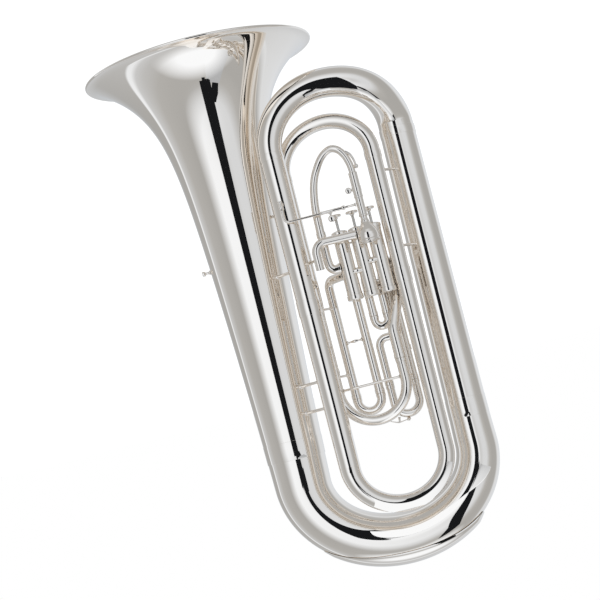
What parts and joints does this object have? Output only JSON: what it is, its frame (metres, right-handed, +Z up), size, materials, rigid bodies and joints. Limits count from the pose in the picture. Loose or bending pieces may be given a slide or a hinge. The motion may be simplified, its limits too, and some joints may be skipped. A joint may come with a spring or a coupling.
{
  "type": "tuba",
  "caption": "Silver-plated convertible tuba with top-action piston valves, tuning slides that pull, a water key and a removable mouthpiece, standing on its bell.",
  "frame": {"origin": "on the ground under the middle of the bounding box; the rim of the bell rests on Z = 0", "axes": "+Z up, from the bell's rim toward the bottom bow, and the way the slides pull and the valves press; +X toward the bell's outer side; -Y toward the player's side, where the valves and the mouthpiece are"},
  "size_m": [0.6035, 0.45, 1.0357],
  "materials": {
    "silver_plate": "mirror-polished silver plate over brass",
    "piston_nickel": "honed nickel-plated valve piston",
    "spring_steel": "drawn spring wire"
  },
  "bodies": {
    "frame": {"back_branch": "silver_plate", "bell": "silver_plate", "bell_brace_lower": "silver_plate", "bell_brace_upper": "silver_plate", "bell_ferrule": "silver_plate", "bottom_bow": "silver_plate", "bottom_cap_1": "silver_plate", "bottom_cap_2": "silver_plate", "bottom_cap_3": "silver_plate", "bow_ferrule": "silver_plate", "bow_guard": "silver_plate", "branch_brace": "silver_plate", "first_slide_inlet": "silver_plate", "first_slide_outlet": "silver_plate", "first_slide_stay": "silver_plate", "grip_brace": "silver_plate", "hand_grip": "silver_plate", "inner_bow": "silver_plate", "inner_ferrule": "silver_plate", "inner_right_branch": "silver_plate", "inner_top_bow": "silver_plate", "knuckle_12": "silver_plate", "knuckle_23": "silver_plate", "leadpipe": "silver_plate", "left_branch": "silver_plate", "main_slide_inlet": "silver_plate", "mouthpipe_brace": "silver_plate", "outer_branch": "silver_plate", "receiver": "silver_plate", "second_slide_inlet": "silver_plate", "second_slide_outlet": "silver_plate", "slide_brace": "silver_plate", "spring_1": "spring_steel", "spring_2": "spring_steel", "spring_3": "spring_steel", "strap_knob": "silver_plate", "third_slide_inlet": "silver_plate", "third_slide_outlet": "silver_plate", "top_bow": "silver_plate", "top_cap_1": "silver_plate", "top_cap_2": "silver_plate", "top_cap_3": "silver_plate", "valve_casing_1": "silver_plate", "valve_casing_2": "silver_plate", "valve_casing_3": "silver_plate"},
    "valve_1": {"piston_1": "piston_nickel", "button_1": "silver_plate"},
    "valve_2": {"piston_2": "piston_nickel", "button_2": "silver_plate"},
    "valve_3": {"piston_3": "piston_nickel", "button_3": "silver_plate"},
    "main_slide": {"main_slide_crook": "silver_plate", "main_slide_stay": "silver_plate"},
    "first_slide": {"first_slide_crook": "silver_plate"},
    "second_slide": {"second_slide_crook": "silver_plate"},
    "third_slide": {"third_slide_crook": "silver_plate"},
    "water_key_lever": {"water_key": "silver_plate"},
    "mouthpiece_body": {"mouthpiece": "silver_plate"},
    "brace_screw_body": {"brace_screw": "silver_plate"},
    "receiver_screw_body": {"receiver_screw": "silver_plate"}
  },
  "joints": [
    {"name": "valve_1_press", "type": "slide", "parent": "frame", "child": "valve_1", "axis": [0, 0, 1], "range_m": [0, 0.018], "stiffness_N_per_m": 120, "springref_m": -0.02, "deforming": ["spring_1"]},
    {"name": "valve_2_press", "type": "slide", "parent": "frame", "child": "valve_2", "axis": [0, 0, 1], "range_m": [0, 0.018], "stiffness_N_per_m": 120, "springref_m": -0.02, "deforming": ["spring_2"]},
    {"name": "valve_3_press", "type": "slide", "parent": "frame", "child": "valve_3", "axis": [0, 0, 1], "range_m": [0, 0.018], "stiffness_N_per_m": 120, "springref_m": -0.02, "deforming": ["spring_3"]},
    {"name": "main_slide_pull", "type": "slide", "parent": "frame", "child": "main_slide", "axis": [0, 0, 1], "range_m": [0, 0.035]},
    {"name": "first_slide_pull", "type": "slide", "parent": "frame", "child": "first_slide", "axis": [0, 0, 1], "range_m": [0, 0.04]},
    {"name": "second_slide_pull", "type": "slide", "parent": "frame", "child": "second_slide", "axis": [0, 0, 1], "range_m": [0, 0.025]},
    {"name": "third_slide_pull", "type": "slide", "parent": "frame", "child": "third_slide", "axis": [0, 0, 1], "range_m": [0, 0.04]},
    {"name": "mouthpiece_pull", "type": "slide", "parent": "frame", "child": "mouthpiece_body", "axis": [0, 0, 1], "range_m": [0, 0.04]},
    {"name": "water_key_rock", "type": "hinge", "parent": "third_slide", "child": "water_key_lever", "pos_m": [-0.1285, -0.0445, 0.7715], "axis": [0, 1, 0], "range_deg": [0, 18], "stiffness_Nm_per_rad": 0.02, "springref_deg": -28.65},
    {"name": "brace_screw_turn", "type": "hinge", "parent": "frame", "child": "brace_screw_body", "pos_m": [-0.096, -0.1346, 0.3662], "axis": [0, 0, -1], "continuous": true},
    {"name": "receiver_screw_turn", "type": "hinge", "parent": "frame", "child": "receiver_screw_body", "pos_m": [-0.1451, -0.14, 0.3345], "axis": [-1, 0, 0], "continuous": true}
  ]
}
